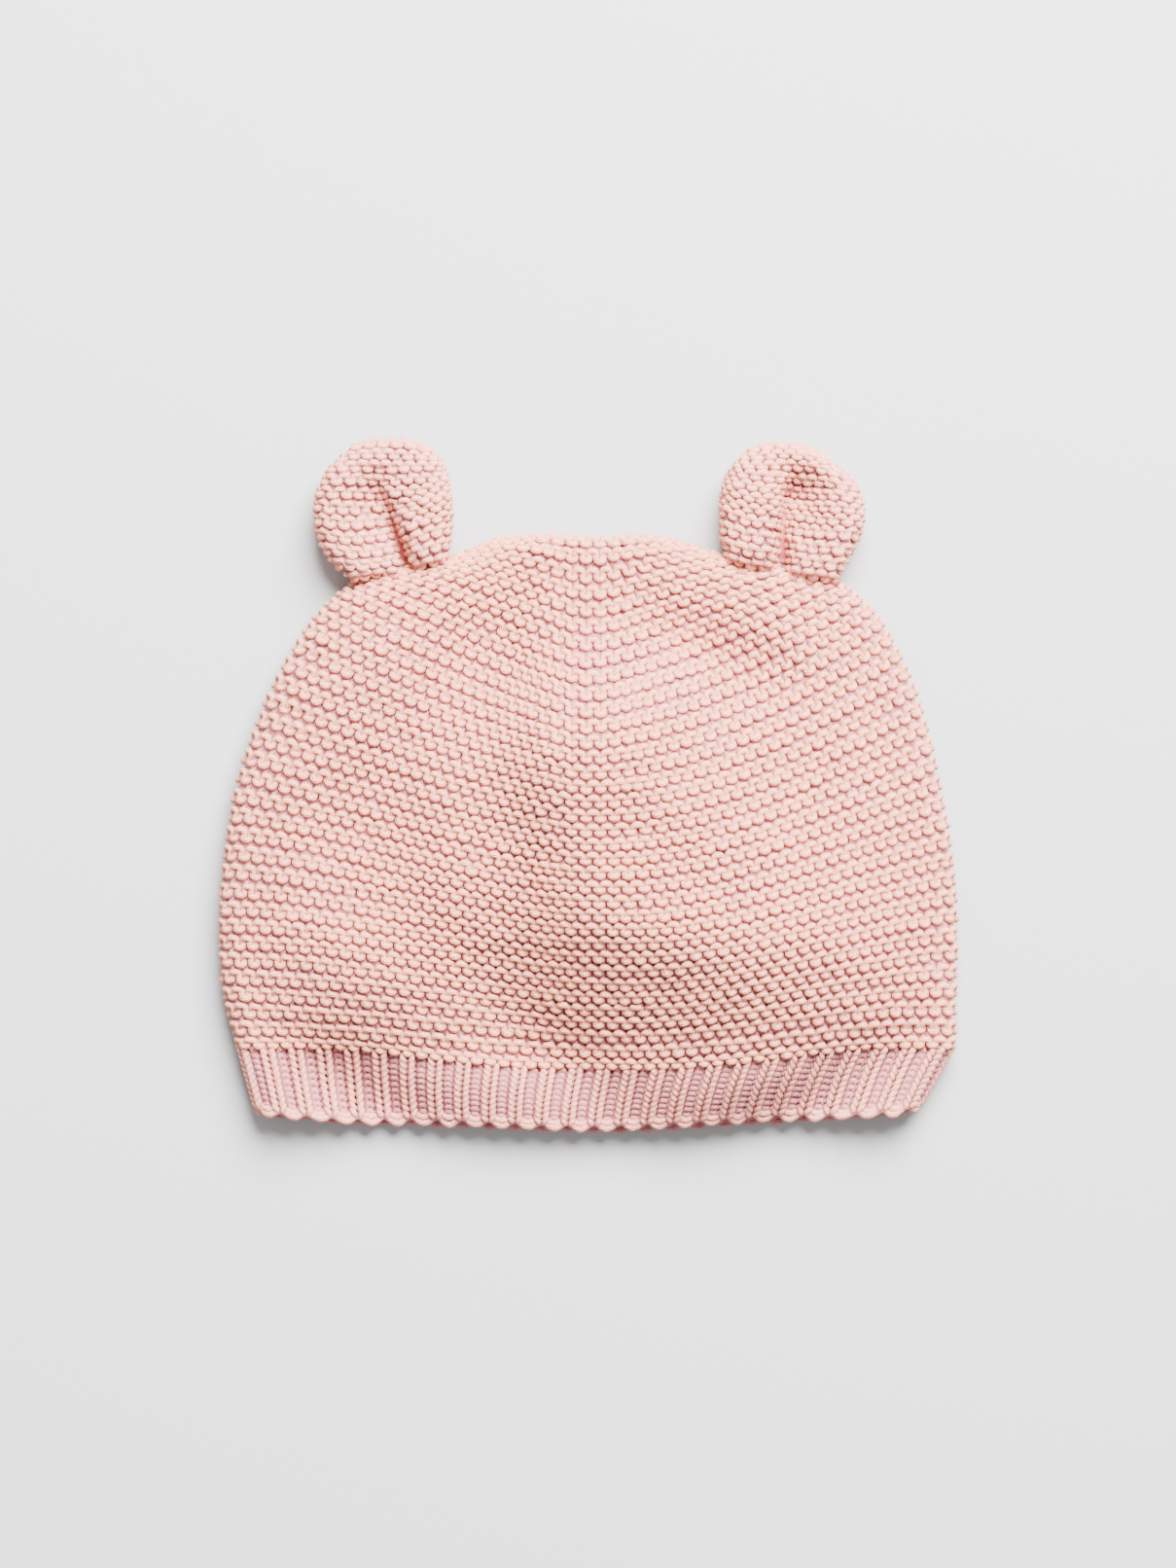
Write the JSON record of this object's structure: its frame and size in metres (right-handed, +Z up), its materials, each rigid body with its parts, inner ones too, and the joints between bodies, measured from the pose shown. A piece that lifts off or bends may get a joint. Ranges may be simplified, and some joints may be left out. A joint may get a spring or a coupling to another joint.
{
  "type": "knitted baby hat with ears",
  "caption": "Soft garter-stitch knitted baby hat with a ribbed brim band and padded round ears, hollow for the head, lying flat on its back.",
  "frame": {"origin": "middle of the hat's footprint, on the flat back that it lies on", "axes": "+X across the hat, towards the right fold seen from above; +Y from the brim towards the ears; +Z up, out of the front of the hat"},
  "size_m": [0.19, 0.1777, 0.0277],
  "materials": {
    "garter_knit": "pale pink cotton yarn in garter stitch, matt, softly fuzzy",
    "rib_knit": "pale pink cotton yarn in one by one rib, matt",
    "ear_knit": "pale pink cotton yarn in garter stitch, matt, double layer"
  },
  "bodies": {
    "root": {"crown": "garter_knit", "rib_band": "rib_knit", "ear_left": "ear_knit", "ear_right": "ear_knit"}
  },
  "joints": []
}
